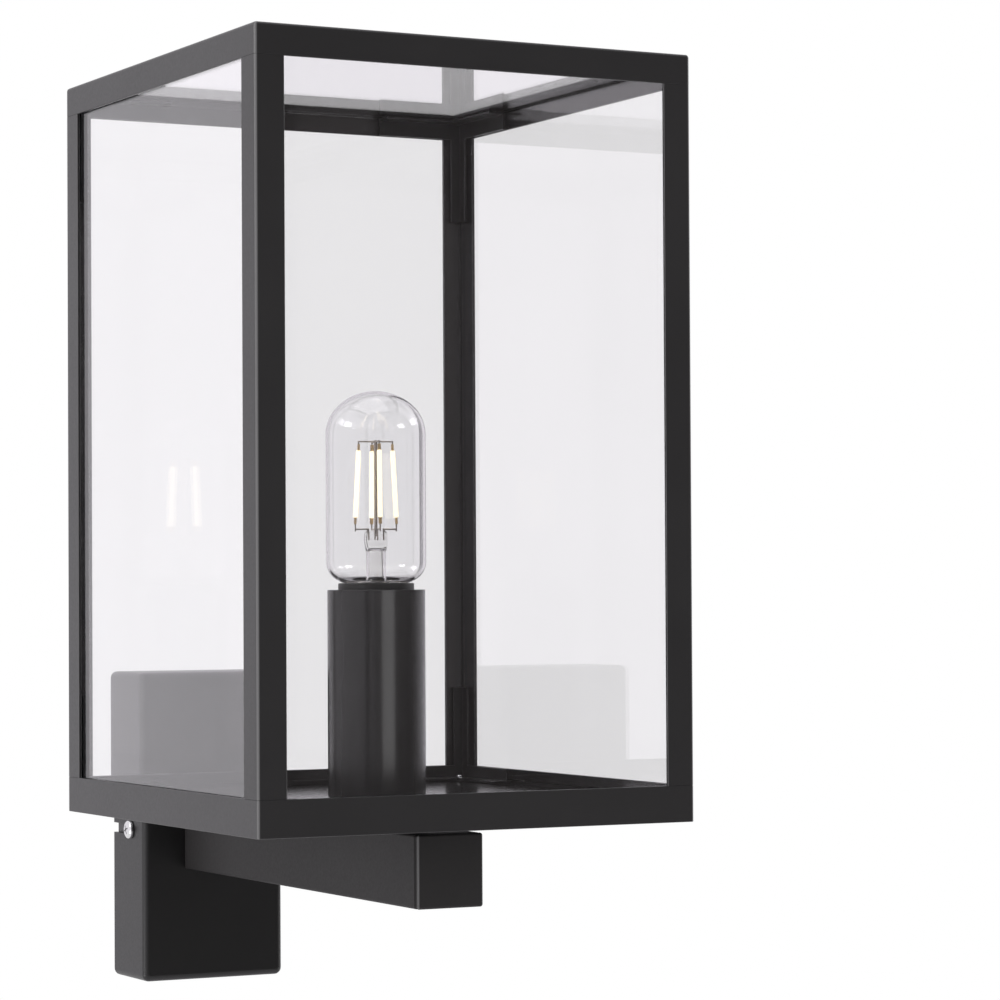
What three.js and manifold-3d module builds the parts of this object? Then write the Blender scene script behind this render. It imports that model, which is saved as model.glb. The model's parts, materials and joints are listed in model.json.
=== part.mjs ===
// Outdoor wall lantern: a square glazed cage over one lamp, on an arm that comes out of a wall box.
// Millimetres, +Z up. The wall is the plane y = 0 and the lantern stands out of it towards -Y.
// The origin is the middle of the wall bracket's back face.

import * as THREE from "three";
import { mergeVertices } from "three/addons/utils/BufferGeometryUtils.js";
import Module from "manifold-3d";

const wasm = await Module();
wasm.setup();

// ---- driving dimensions ----

const touchGap = 0.3; // left between pieces that touch

// lantern cage, outside sizes
const cageSide = 210;
const cageHeight = 336;
const profileLeg = 13.5; // width of a post or top rail on each face
const profileWall = 1.5;
const bottomRailHeight = 16;
const glassThickness = 3;
const clipWall = 1.2;
const clipLeg = 50; // along the rails, from the cage's outer corner
const clipPostLeg = 54; // along the posts, from the cage's outer corner
const clipPostWidth = 11; // of the upright part, from the cage's outer corner
const shortClipLeg = 20; // the same as clipLeg, for the low clips at the front

// wall box
const boxWidth = 75;
const boxHeight = 152;
const boxDepth = 39;
const boxWall = 2;
const boxCornerRadius = 3.5;
const leadHole = 5; // radius of the way for the leads from the box into the arm

// wall bracket
const bracketWall = 2;
const strapWidth = 40;
const strapHeight = 124;
const earHeight = 20;
const earDepth = 30;
const wallSlotSpacing = 90;
const wallSlotLength = 12;
const wallSlotWidth = 5;
const cableHoleRadius = 7;
const cableHoleHeight = 27;
const earPlay = 0.5; // between an ear and the box's side

// arm and where it carries the lantern
const armSide = 32;
const armWall = 2;
const armCornerRadius = 1.2;
const armDrop = 5; // its centre line is this far under the box's middle
const armToCage = 3.3; // daylight between the arm and the cage
const armSetback = 29.6; // the arm ends this far behind the cage's front
const endCapWall = 2.4;
const endCapPlug = 8; // how far the cap reaches into the arm
const endCapPlay = 0.4;
const footPlugDepth = 12;
const wallToCage = 109;
const lampForward = 4; // the lamp stands this far in front of the cage's middle

// screws and nuts
const screwRadius = 1.9; // M4 with its thread left out
const screwHole = 2.2;
const slotPlay = 0.2; // round a side screw in its slot
const sideScrewHead = 4.5;
const sideScrewHeadHeight = 2.6;
const sideScrewLength = 7;
const sideScrewFromWall = 22;
const sideScrewHeight = -2;
const panHeadRadius = 3.6;
const panHeadHeight = 2.2;
const footScrewSpacing = 19;
const footScrewLength = 12;
const cageScrewLength = 4.4;
const cageScrewInset = 10;

// lamp tube, M10, and its nuts
const tubeRadius = 5;
const tubeBore = 4;
const tubeHole = 5.3;
const tubeBelow = 13; // the tube's lower end is this far under the cage
const tubeInHolder = 6.5; // and its upper end this far inside the holder
const nutAcrossFlats = 17;
const nutHeight = 4;

// heights above the cage's bottom edge
const trayTop = 8.9;
const trayBottom = 0.5;
const traySlideGap = 0.6;
const sleeveTop = 102;
const insertBottom = 60;
const insertFloor = 77;
const insertTop = 105;
const contactHeight = 81.3; // where the bulb's tip meets the holder's contact
const bulbTop = 191.3;

const sleeveRadius = 22;
const sleeveWall = 1.5;
const insertRadius = 17.1;
const bulbRadius = 22.5;
const bulbWall = 0.9;
const capRadius = 13.1;

// wiring
const leadRadius = 1;
const leadSpacing = 3.4;
const block = { width: 30, depth: 13, height: 18, middle: -44 }; // terminal block, from the bracket's middle
const poleHole = { radius: 2.4, depth: 6 };
const poleGroove = { width: 2, depth: 4 };
const studX = 22;
const studHeight = 34;
const studNut = { radius: 4, height: 3.2 };

// LED filaments, heights above the cage's bottom edge
const filamentLow = 134;
const filamentHigh = 165;
const filamentRadius = 1.1;
const lowSpread = 9.4; // from the bulb's axis to a filament's lower end
const highSpread = 7.8;
const filamentTurn = -0.26; // the ring of filaments is turned this far, in radians

// ---- worked out from them ----

const half = cageSide / 2;
const boxInside = boxWidth / 2 - boxWall;
const boxFront = -boxDepth;
const cageCentreY = -(wallToCage + half);
const cageBottom = -armDrop + armSide / 2 + armToCage;
const lampY = cageCentreY - lampForward;
const armRear = boxFront - touchGap;
const armEnd = -(wallToCage + cageSide - armSetback);
const armInside = armSide / 2 - armWall;
const paneOutside = profileWall + touchGap; // inwards from the cage's outer face
const paneInside = paneOutside + glassThickness;
const clipStart = paneInside + touchGap;
const trayUnder = trayTop - profileWall;

// ---- shapes ----

// A closed three.js geometry as a manifold-3d solid.
function solid(geometry) {
  const bare = geometry.clone();
  bare.deleteAttribute("normal");
  bare.deleteAttribute("uv");
  const merged = mergeVertices(bare);
  const corners = [];
  for (let i = 0; i < merged.index.count; i += 3) {
    const [a, b, c] = [0, 1, 2].map((k) => merged.index.getX(i + k));
    if (a !== b && b !== c && c !== a) corners.push(a, b, c);
  }
  return new wasm.Manifold(
    new wasm.Mesh({
      numProp: 3,
      vertProperties: merged.attributes.position.array,
      triVerts: new Uint32Array(corners),
    }),
  );
}

// A manifold-3d solid as a three.js geometry.
function geometryOf(made) {
  const { vertProperties, triVerts } = made.getMesh();
  const geometry = new THREE.BufferGeometry();
  geometry.setAttribute("position", new THREE.BufferAttribute(new Float32Array(vertProperties), 3));
  geometry.setIndex(new THREE.BufferAttribute(new Uint32Array(triVerts), 1));
  geometry.computeVertexNormals();
  return geometry;
}

// A box between two opposite corners.
function boxBetween([x0, y0, z0], [x1, y1, z1]) {
  const geometry = new THREE.BoxGeometry(x1 - x0, y1 - y0, z1 - z0);
  return geometry.translate((x0 + x1) / 2, (y0 + y1) / 2, (z0 + z1) / 2);
}

function union(geometries) {
  return geometries.map(solid).reduce((whole, next) => whole.add(next));
}

function cut(body, tools) {
  return tools.reduce((left, tool) => left.subtract(solid(tool)), body);
}

// A body turned round the Z axis. Its outline runs up the outside and back down the inside.
function turned(outline, segments) {
  const points = outline.map(([radius, height]) => new THREE.Vector2(radius, height));
  return new THREE.LatheGeometry(points, segments).rotateX(Math.PI / 2);
}

// A rod from one point to another.
function rod(from, to, radius, sides = 8) {
  const [start, end] = [new THREE.Vector3(...from), new THREE.Vector3(...to)];
  const way = end.clone().sub(start);
  const geometry = new THREE.CylinderGeometry(radius, radius, way.length(), sides);
  const turn = new THREE.Quaternion().setFromUnitVectors(new THREE.Vector3(0, 1, 0), way.normalize());
  geometry.applyQuaternion(turn);
  const middle = start.add(end).multiplyScalar(0.5);
  return geometry.translate(middle.x, middle.y, middle.z);
}

// A rectangle with rounded corners, as an outline or as a hole.
function roundedRectangle(width, height, radius, path = new THREE.Shape()) {
  const [x, y] = [width / 2 - radius, height / 2 - radius];
  const quarter = Math.PI / 2;
  path.absarc(x, y, radius, 0, quarter);
  path.absarc(-x, y, radius, quarter, 2 * quarter);
  path.absarc(-x, -y, radius, 2 * quarter, 3 * quarter);
  path.absarc(x, -y, radius, 3 * quarter, 4 * quarter);
  path.closePath();
  return path;
}

// An outline in X and Z, pushed out along -Y from one depth to another.
function prism(shape, fromY, toY, curveSegments = 4) {
  const geometry = new THREE.ExtrudeGeometry(shape, {
    depth: fromY - toY,
    bevelEnabled: false,
    curveSegments,
  });
  return geometry.rotateX(Math.PI / 2).translate(0, fromY, 0);
}

// A pan-head screw standing on the plane z = 0: head above, shank below.
function panScrew(headRadius, headHeight, shankRadius, length) {
  const edge = headHeight * 0.4;
  const outline = [
    [0, -length],
    [shankRadius, -length],
    [shankRadius, 0],
    [headRadius, 0],
    [headRadius, edge],
  ];
  const shoulder = THREE.MathUtils.degToRad(45);
  outline.push([headRadius * Math.cos(shoulder), edge + (headHeight - edge) * Math.sin(shoulder)]);
  outline.push([0, headHeight]);
  return turned(outline, 14);
}

// ---- materials ----

function finish(color, roughness, metalness, opacity = 1) {
  return new THREE.MeshStandardMaterial({
    color,
    roughness,
    metalness,
    opacity,
    transparent: opacity < 1,
  });
}

const satinBlack = () => finish(0x2b2b2d, 0.42, 0.1);
const clearGlass = () => finish(0xeef2f4, 0.05, 0, 0.2);
const zincSteel = () => finish(0xb9bcc0, 0.35, 1);
const brightNickel = () => finish(0xc9c6bd, 0.25, 1);
const brass = () => finish(0xc2a24c, 0.3, 1);
const blackPlastic = () => finish(0x1c1c1d, 0.55, 0);

const lantern = new THREE.Group(); // stands on the middle of the cage's bottom edge
lantern.position.set(0, cageCentreY, cageBottom);
const lamp = new THREE.Group(); // on the lamp's own axis
lamp.position.set(0, -lampForward, 0);
lantern.add(lamp);
const fitting = new THREE.Group();
fitting.add(lantern);

function place(group, name, geometry, material) {
  const mesh = new THREE.Mesh(geometry, material);
  mesh.name = name;
  group.add(mesh);
  return mesh;
}

// ---- wall bracket and its two side screws ----

function wallBracket() {
  const low = sideScrewHeight - earHeight / 2;
  const high = sideScrewHeight + earHeight / 2;
  const earOutside = boxInside - earPlay;
  const plates = [
    boxBetween([-strapWidth / 2, -bracketWall, -strapHeight / 2], [strapWidth / 2, 0, strapHeight / 2]),
    boxBetween([-earOutside, -bracketWall, low], [earOutside, 0, high]),
  ];
  for (const side of [-1, 1]) {
    const inner = side * (earOutside - bracketWall);
    const outer = side * earOutside;
    plates.push(boxBetween([Math.min(inner, outer), -earDepth, low], [Math.max(inner, outer), 0, high]));
  }
  const holes = [rod([0, 1, cableHoleHeight], [0, -bracketWall - 1, cableHoleHeight], cableHoleRadius, 20)];
  for (const end of [-1, 1]) {
    const slot = roundedRectangle(wallSlotLength, wallSlotWidth, wallSlotWidth / 2 - 0.01);
    holes.push(prism(slot, 1, -bracketWall - 1).translate(0, 0, (end * wallSlotSpacing) / 2));
    const across = [end * (earOutside + 1), -sideScrewFromWall, sideScrewHeight];
    const back = [end * (earOutside - bracketWall - 1), -sideScrewFromWall, sideScrewHeight];
    holes.push(rod(across, back, screwHole, 14));
  }
  return geometryOf(cut(union(plates), holes));
}

place(fitting, "wall_bracket", wallBracket(), satinBlack());

const sideScrewShape = panScrew(sideScrewHead, sideScrewHeadHeight, screwRadius, sideScrewLength);
for (const [name, side] of [["side_screw_left", -1], ["side_screw_right", 1]]) {
  const screw = place(fitting, name, sideScrewShape, zincSteel());
  screw.rotation.y = (side * Math.PI) / 2;
  screw.position.set(side * (boxWidth / 2 + touchGap), -sideScrewFromWall, sideScrewHeight);
}

// ---- wall box ----

function wallBox() {
  const outer = prism(roundedRectangle(boxWidth, boxHeight, boxCornerRadius), 0, boxFront);
  const innerOutline = roundedRectangle(
    boxWidth - 2 * boxWall,
    boxHeight - 2 * boxWall,
    boxCornerRadius - boxWall,
  );
  const inner = prism(innerOutline, 1, boxFront + boxWall);
  const through = (height, radius) =>
    rod([0, boxFront - 1, height], [0, boxFront + boxWall + 1, height], radius, 16);
  const holes = [inner, through(-armDrop, leadHole)];
  for (const end of [-1, 1]) {
    holes.push(through(-armDrop + (end * footScrewSpacing) / 2, screwHole));
    const [near, far] = [boxInside - 1, boxWidth / 2 + 1];
    const slotEnd = -sideScrewFromWall;
    const slotHalf = screwHole + slotPlay;
    const [low, high] = [sideScrewHeight - slotHalf, sideScrewHeight + slotHalf];
    const [x0, x1] = end < 0 ? [-far, -near] : [near, far];
    holes.push(boxBetween([x0, slotEnd, low], [x1, 1, high]));
    const heel = [end * near, slotEnd, sideScrewHeight];
    holes.push(rod(heel, [end * far, slotEnd, sideScrewHeight], slotHalf, 16));
  }
  return geometryOf(cut(solid(outer), holes));
}

place(fitting, "wall_box", wallBox(), satinBlack());

// ---- arm ----

function arm() {
  const outline = roundedRectangle(armSide, armSide, armCornerRadius);
  const hole = roundedRectangle(2 * armInside, 2 * armInside, armCornerRadius / 2, new THREE.Path());
  outline.holes.push(hole);
  const tube = prism(outline, armRear, armEnd + endCapWall + touchGap);
  return geometryOf(cut(solid(tube), [rod([0, lampY, 0], [0, lampY, armSide], tubeHole, 20)]));
}

const armGroup = new THREE.Group();
armGroup.position.z = -armDrop;
fitting.add(armGroup);
place(armGroup, "arm", arm(), satinBlack());

const capPlug = 2 * (armInside - endCapPlay);
const capFace = armEnd + endCapWall;
const endCap = union([
  prism(roundedRectangle(armSide, armSide, armCornerRadius), capFace, armEnd),
  prism(roundedRectangle(capPlug, capPlug, 1), capFace + endCapPlug, capFace - 1),
]);
place(armGroup, "arm_end_cap", geometryOf(endCap), satinBlack());

const plugSide = 2 * (armInside - touchGap);
const plugFront = armRear - footPlugDepth;
const plugTools = [rod([0, armRear + 1, 0], [0, plugFront - 1, 0], leadHole, 20)];
for (const end of [-1, 1]) {
  const height = (end * footScrewSpacing) / 2;
  plugTools.push(rod([0, armRear + 1, height], [0, plugFront - 1, height], screwHole, 14));
}
const plugBlank = prism(roundedRectangle(plugSide, plugSide, 1), armRear, plugFront);
place(armGroup, "arm_foot_plug", geometryOf(cut(solid(plugBlank), plugTools)), zincSteel());

const footScrewShape = panScrew(panHeadRadius, panHeadHeight, screwRadius, footScrewLength);
for (const [name, end] of [["foot_screw_lower", -1], ["foot_screw_upper", 1]]) {
  const screw = place(armGroup, name, footScrewShape, zincSteel());
  screw.rotation.x = -Math.PI / 2;
  screw.position.set(0, boxFront + boxWall + touchGap, (end * footScrewSpacing) / 2);
}

// ---- wiring inside the box, the arm and the lamp tube ----

const blockFront = boxFront + boxWall + touchGap;
const poleSpacing = block.width / 3;

function terminalBlock() {
  const [low, high] = [block.middle - block.height / 2, block.middle + block.height / 2];
  const rear = blockFront + block.depth;
  const body = boxBetween([-block.width / 2, blockFront, low], [block.width / 2, rear, high]);
  const tools = [];
  for (const pole of [-1, 0, 1]) {
    const [x, bottom] = [pole * poleSpacing, rear - poleHole.depth];
    tools.push(rod([x, rear + 1, block.middle], [x, bottom, block.middle], poleHole.radius, 12));
  }
  for (const pole of [-0.5, 0.5]) {
    const [x, reach] = [pole * poleSpacing, poleGroove.width / 2];
    tools.push(boxBetween([x - reach, rear - poleGroove.depth, low - 1], [x + reach, rear + 1, high + 1]));
  }
  return geometryOf(cut(solid(body), tools));
}

place(fitting, "terminal_block", terminalBlock(), finish(0xe9e6dc, 0.5, 0));

const studOutline = [
  [0, 0],
  [studNut.radius, 0],
  [studNut.radius, studNut.height],
  [screwRadius, studNut.height],
  [screwRadius, 2.5 * studNut.height],
  [0, 2.5 * studNut.height],
];
const stud = place(fitting, "earth_stud", turned(studOutline, 12), brass());
stud.rotation.x = -Math.PI / 2;
stud.position.set(studX, blockFront, studHeight);

// An insulated lead through the given points.
function lead(points, steps) {
  const curve = new THREE.CatmullRomCurve3(points.map((p) => new THREE.Vector3(...p)), false, "centripetal");
  const section = new THREE.Shape();
  section.absarc(0, 0, leadRadius, 0, 2 * Math.PI);
  return new THREE.ExtrudeGeometry(section, {
    steps,
    extrudePath: curve,
    bevelEnabled: false,
    curveSegments: 4,
  });
}

const blockTop = block.middle + block.height / 2 + touchGap;
const leadY = blockFront + 5;
const tubeFoot = cageBottom - tubeBelow;
for (const [name, side] of [["live_lead", -1], ["neutral_lead", 1]]) {
  const x = (side * leadSpacing) / 2;
  const route = [
    [(side < 0 ? -1 : 0) * poleSpacing, leadY, blockTop],
    [(side < 0 ? -0.9 : 0.1) * poleSpacing, leadY + 3, blockTop + 8],
    [side * 5, leadY + 8, -armDrop - 9],
    [x, leadY + 5, -armDrop - 2],
    [x, boxFront - 8, -armDrop],
    [x, boxFront - 30, -armDrop - 4],
    [x, boxFront - 90, -armDrop - 9],
    [x, lampY + 30, -armDrop - 9],
    [x, lampY + 8, -armDrop - 5],
    [x, lampY, tubeFoot + 5],
    [x, lampY, tubeFoot + 25],
    [x, lampY, cageBottom + insertFloor - 0.5],
  ];
  place(fitting, name, lead(route, 64), finish(side < 0 ? 0x6b3f22 : 0x2f5fa8, 0.5, 0));
}

const earthRoute = [
  [poleSpacing, leadY, blockTop],
  [poleSpacing + 4, leadY + 4, blockTop + 12],
  [studX + 5, leadY + 4, 0],
  [studX + 4, leadY + 2, studHeight - 20],
  [studX, blockFront + studNut.height + 2.5, studHeight - studNut.radius - touchGap],
];
place(fitting, "earth_lead", lead(earthRoute, 24), finish(0x6f9a2e, 0.5, 0));

// ---- base of the lantern: spacer, tray, lamp tube and nuts ----

function ring(outer, lowZ, highZ) {
  return cut(solid(outer), [rod([0, 0, lowZ - 1], [0, 0, highZ + 1], tubeHole, 20)]);
}

const spacerLow = -armToCage + touchGap;
const spacerHigh = trayUnder - touchGap;
const spacer = boxBetween([-14, -22, spacerLow], [14, 22, spacerHigh]);
place(lamp, "arm_spacer", geometryOf(ring(spacer, spacerLow, spacerHigh)), satinBlack());

function baseTray() {
  const side = half - profileWall - traySlideGap;
  const inside = side - profileWall;
  const sheet = boxBetween([-side, -side, trayBottom], [side, side, trayTop]);
  const tools = [
    boxBetween([-inside, -inside, trayBottom - 1], [inside, inside, trayUnder]),
    rod([0, -lampForward, 0], [0, -lampForward, trayTop + 1], tubeHole, 20),
  ];
  const at = half - cageScrewInset;
  for (const x of [-at, at]) {
    for (const y of [-at, at]) {
      tools.push(rod([x, y, 0], [x, y, trayTop + 1], screwHole, 12));
    }
  }
  return geometryOf(cut(solid(sheet), tools));
}

place(lantern, "base_plate", baseTray(), satinBlack());

function hexNut(lowZ) {
  const radius = nutAcrossFlats / 2 / Math.cos(Math.PI / 6);
  const blank = new THREE.CylinderGeometry(radius, radius, nutHeight, 6);
  blank.rotateX(Math.PI / 2).translate(0, 0, lowZ + nutHeight / 2);
  return geometryOf(ring(blank, lowZ, lowZ + nutHeight));
}

place(lamp, "tube_nut_lower", hexNut(-armToCage - armWall - touchGap - nutHeight), zincSteel());
place(lamp, "tube_nut_upper", hexNut(trayTop + touchGap), zincSteel());

const tubeOutline = [
  [tubeRadius, -tubeBelow],
  [tubeRadius, insertBottom + tubeInHolder],
  [tubeBore, insertBottom + tubeInHolder],
  [tubeBore, -tubeBelow],
  [tubeRadius, -tubeBelow],
];
place(lamp, "lamp_tube", turned(tubeOutline, 20), zincSteel());

// ---- lamp holder ----

const sleeveOutline = [
  [sleeveRadius, trayTop + touchGap],
  [sleeveRadius, sleeveTop],
  [sleeveRadius - sleeveWall, sleeveTop],
  [sleeveRadius - sleeveWall, trayTop + touchGap],
  [sleeveRadius, trayTop + touchGap],
];
place(lamp, "holder_sleeve", turned(sleeveOutline, 40), satinBlack());

const insertOutline = [
  [8.5, insertBottom],
  [8.5, insertBottom + 4],
  [12, insertBottom + 9],
  [insertRadius, insertBottom + 15],
  [insertRadius, insertTop],
  [14.5, insertTop],
  [14.5, insertFloor],
  [tubeBore, insertFloor],
  [tubeBore, insertBottom + 7],
  [tubeHole, insertBottom + 7],
  [tubeHole, insertBottom],
  [8.5, insertBottom],
];
place(lamp, "holder_insert", turned(insertOutline, 28), blackPlastic());

const shellOutline = [
  [14.2, insertFloor + 2],
  [14.2, insertTop - 1.5],
  [13.7, insertTop - 1.5],
  [13.7, insertFloor + 2],
  [14.2, insertFloor + 2],
];
place(lamp, "holder_shell", turned(shellOutline, 28), brass());

const contactTop = contactHeight - touchGap;
const contactOutline = [
  [0, insertFloor + touchGap],
  [6, insertFloor + touchGap],
  [6, insertFloor + 1.3],
  [3.5, insertFloor + 1.5],
  [2.8, contactTop - 0.8],
  [1.5, contactTop - 0.1],
  [0, contactTop],
];
place(lamp, "holder_contact", turned(contactOutline, 20), brass());

// ---- bulb ----

const tipTop = contactHeight + 2.9;
const tipOutline = [
  [0, contactHeight],
  [4.2, contactHeight],
  [4.8, contactHeight + 0.8],
  [8.6, tipTop],
  [0, tipTop],
];
place(lamp, "bulb_tip", turned(tipOutline, 24), blackPlastic());

const capLow = tipTop + touchGap;
const capHigh = insertTop - 0.6;
const capOutline = [
  [4, capLow],
  [10, capLow],
  [capRadius, capLow + 3],
  [capRadius, capHigh - 1.8],
  [capRadius + 0.5, capHigh - 1.4],
  [capRadius + 0.5, capHigh],
  [capRadius - 0.4, capHigh],
  [capRadius - 0.4, capLow + 3.3],
  [9.8, capLow + 0.7],
  [4, capLow + 0.7],
  [4, capLow],
];
place(lamp, "bulb_cap", turned(capOutline, 28), brightNickel());

// The bulb's glass: a short neck, a rounded shoulder, straight sides and a low dome.
function glassOutline() {
  const neck = 12.4;
  const neckLow = capHigh - 8;
  const shoulderLow = insertTop - 0.2;
  const shoulderHigh = shoulderLow + 9.7;
  const domeLow = 172;
  const domeRise = bulbTop - domeLow;
  const arc = [0, 18, 36, 54, 72, 90].map(THREE.MathUtils.degToRad);
  const wallAt = (inset) => {
    const up = [[neck - inset, neckLow]];
    for (const angle of arc) {
      const radius = neck - inset + (bulbRadius - neck) * Math.sin(angle);
      up.push([radius, shoulderHigh - (shoulderHigh - shoulderLow - inset) * Math.cos(angle)]);
    }
    for (const angle of arc) {
      const radius = angle < arc.at(-1) ? (bulbRadius - inset) * Math.cos(angle) : 0;
      up.push([radius, domeLow + (domeRise - inset) * Math.sin(angle)]);
    }
    return up;
  };
  return [...wallAt(0), ...wallAt(bulbWall).reverse(), [neck, neckLow]];
}

place(lamp, "bulb_glass", turned(glassOutline(), 28), clearGlass());

const filamentPlaces = [0, 1, 2, 3].map((quarter) => {
  const angle = filamentTurn + (quarter * Math.PI) / 2;
  const at = (radius, height) => [radius * Math.cos(angle), radius * Math.sin(angle), height];
  return {
    low: at(lowSpread, filamentLow),
    high: at(highSpread, filamentHigh),
    lowWire: at(lowSpread, filamentLow - 0.8),
  };
});

function bulbStem() {
  const [flare, waist, pinch] = [98, 106, 119];
  const stemOutline = [
    [0, flare],
    [10.6, flare],
    [10.6, flare + 1],
    [5.6, waist - 3],
    [4.3, waist],
    [4.3, pinch],
    [0, pinch + 1],
  ];
  const wires = [rod([0, 0, pinch], [0, 0, filamentHigh + 6], 1.2, 10)];
  for (const { low, high, lowWire } of filamentPlaces) {
    wires.push(rod([low[0] * 0.2, low[1] * 0.2, 126], lowWire, 0.5, 6));
    wires.push(rod([0, 0, filamentHigh + 4], [high[0], high[1], high[2] + 1], 0.5, 6));
  }
  const pinchBlock = boxBetween([-5.5, -2.2, pinch - 1], [5.5, 2.2, 128]).rotateZ(filamentTurn);
  return geometryOf(union([turned(stemOutline, 20), pinchBlock, ...wires]));
}

place(lamp, "bulb_stem", bulbStem(), clearGlass());

filamentPlaces.forEach(({ low, high }, index) => {
  place(lamp, `led_filament_${index + 1}`, rod(low, high, filamentRadius), finish(0xf4d9a0, 0.6, 0));
});

// ---- cage ----

// A rail or post section in inward and upward millimetres from the cage's outer edge.
const topSection = [
  [0, 0],
  [0, -profileLeg],
  [profileWall, -profileLeg],
  [profileWall, -profileWall],
  [profileLeg, -profileWall],
  [profileLeg, 0],
];
const bottomSection = [
  [0, 0],
  [profileWall, 0],
  [profileWall, bottomRailHeight],
  [0, bottomRailHeight],
];

// One side of a square frame, mitred at both ends, along X at the cage's front.
function mitredRail(section, edgeHeight) {
  const outline = new THREE.Shape(section.map(([inward, up]) => new THREE.Vector2(inward, up)));
  const geometry = new THREE.ExtrudeGeometry(outline, { depth: 1, bevelEnabled: false });
  const position = geometry.attributes.position;
  for (let i = 0; i < position.count; i += 1) {
    const [inward, up, end] = [position.getX(i), position.getY(i), position.getZ(i)];
    const reach = half - inward - touchGap;
    position.setXYZ(i, end > 0.5 ? reach : -reach, inward - half, edgeHeight + up);
  }
  return geometry;
}

const sides = [
  ["front", 0],
  ["right", 1],
  ["rear", 2],
  ["left", 3],
];
for (const [name, quarter] of sides) {
  const turn = (quarter * Math.PI) / 2;
  place(lantern, `top_rail_${name}`, mitredRail(topSection, cageHeight), satinBlack()).rotation.z = turn;
  place(lantern, `bottom_rail_${name}`, mitredRail(bottomSection, 0), satinBlack()).rotation.z = turn;
}

const postLow = bottomRailHeight + touchGap;
const postHigh = cageHeight - profileLeg - touchGap;
const postShape = new THREE.Shape(
  [
    [0, 0],
    [profileLeg, 0],
    [profileLeg, profileWall],
    [profileWall, profileWall],
    [profileWall, profileLeg],
    [0, profileLeg],
  ].map(([x, y]) => new THREE.Vector2(x, y)),
);

// A clip inside the panes, from the cage's outer corner inwards: a flat angle with a lip along each rail,
// and an upright angle in the post. A short one has no upright.
function cornerClip(isTop, isShort) {
  const plateLow = isTop ? clipStart : trayTop + touchGap;
  const plateReach = isTop ? profileLeg : bottomRailHeight;
  const plateEdge = isTop ? clipStart : paneOutside;
  const wallHigh = clipStart + clipWall;
  const leg = isShort ? shortClipLeg : clipLeg;
  const sheets = [
    boxBetween([plateEdge, plateEdge, plateLow], [leg, profileLeg, plateLow + clipWall]),
    boxBetween([plateEdge, plateEdge, plateLow], [profileLeg, leg, plateLow + clipWall]),
    boxBetween([clipStart, clipStart, plateLow], [wallHigh, leg, plateReach]),
    boxBetween([clipStart, clipStart, plateLow], [leg, wallHigh, plateReach]),
  ];
  if (!isShort) {
    sheets.push(boxBetween([clipStart, clipStart, plateLow], [wallHigh, clipPostWidth, clipPostLeg]));
    sheets.push(boxBetween([clipStart, clipStart, plateLow], [clipPostWidth, wallHigh, clipPostLeg]));
  }
  const at = cageScrewInset;
  const holes = isTop ? [] : [rod([at, at, plateLow - 1], [at, at, plateLow + clipWall + 1], screwHole, 12)];
  return geometryOf(cut(union(sheets), holes));
}

const corners = [
  ["front_left", 1, 1],
  ["front_right", -1, 1],
  ["rear_right", -1, -1],
  ["rear_left", 1, -1],
];
for (const [name, inwardX, inwardY] of corners) {
  const post = new THREE.ExtrudeGeometry(postShape, { depth: postHigh - postLow, bevelEnabled: false });
  const [x, y] = [-inwardX * half, -inwardY * half];
  const standing = place(lantern, `post_${name}`, post, satinBlack());
  standing.position.set(x, y, postLow);
  standing.scale.set(inwardX, inwardY, 1);
  const isFront = inwardY > 0;
  if (!isFront) {
    const upper = place(lantern, `clip_top_${name}`, cornerClip(true, false), satinBlack());
    upper.position.set(x, y, cageHeight);
    upper.scale.set(inwardX, inwardY, -1);
  }
  const lower = place(lantern, `clip_bottom_${name}`, cornerClip(false, isFront), satinBlack());
  lower.position.set(x, y, 0);
  lower.scale.set(inwardX, inwardY, 1);
  const screw = panScrew(panHeadRadius, panHeadHeight, screwRadius, cageScrewLength);
  const cageScrew = place(lantern, `cage_screw_${name}`, screw, zincSteel());
  cageScrew.rotation.x = Math.PI;
  cageScrew.position.set(x + inwardX * cageScrewInset, y + inwardY * cageScrewInset, trayUnder - touchGap);
}

// ---- glass ----

const paneLow = trayTop + clipWall + 2 * touchGap;
const topPaneHigh = cageHeight - paneOutside;
const paneHigh = topPaneHigh - glassThickness - touchGap;
const long = half - paneOutside;
const short = half - paneInside - touchGap;
for (const [name, quarter] of sides) {
  const reach = quarter % 2 ? long : short;
  const pane = boxBetween([-reach, -long, paneLow], [reach, -long + glassThickness, paneHigh]);
  place(lantern, `pane_${name}`, pane, clearGlass()).rotation.z = (quarter * Math.PI) / 2;
}
const topPane = boxBetween([-long, -long, topPaneHigh - glassThickness], [long, long, topPaneHigh]);
place(lantern, "pane_top", topPane, clearGlass());

export default fitting;
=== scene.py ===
"""The looks of the outdoor wall lantern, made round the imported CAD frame.

Metres, +Z up. The wall is the plane y = 0 and the lantern stands out of it towards -Y.
"""

import json
import math

import bmesh
import bpy
from mathutils import Matrix, Vector


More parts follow.
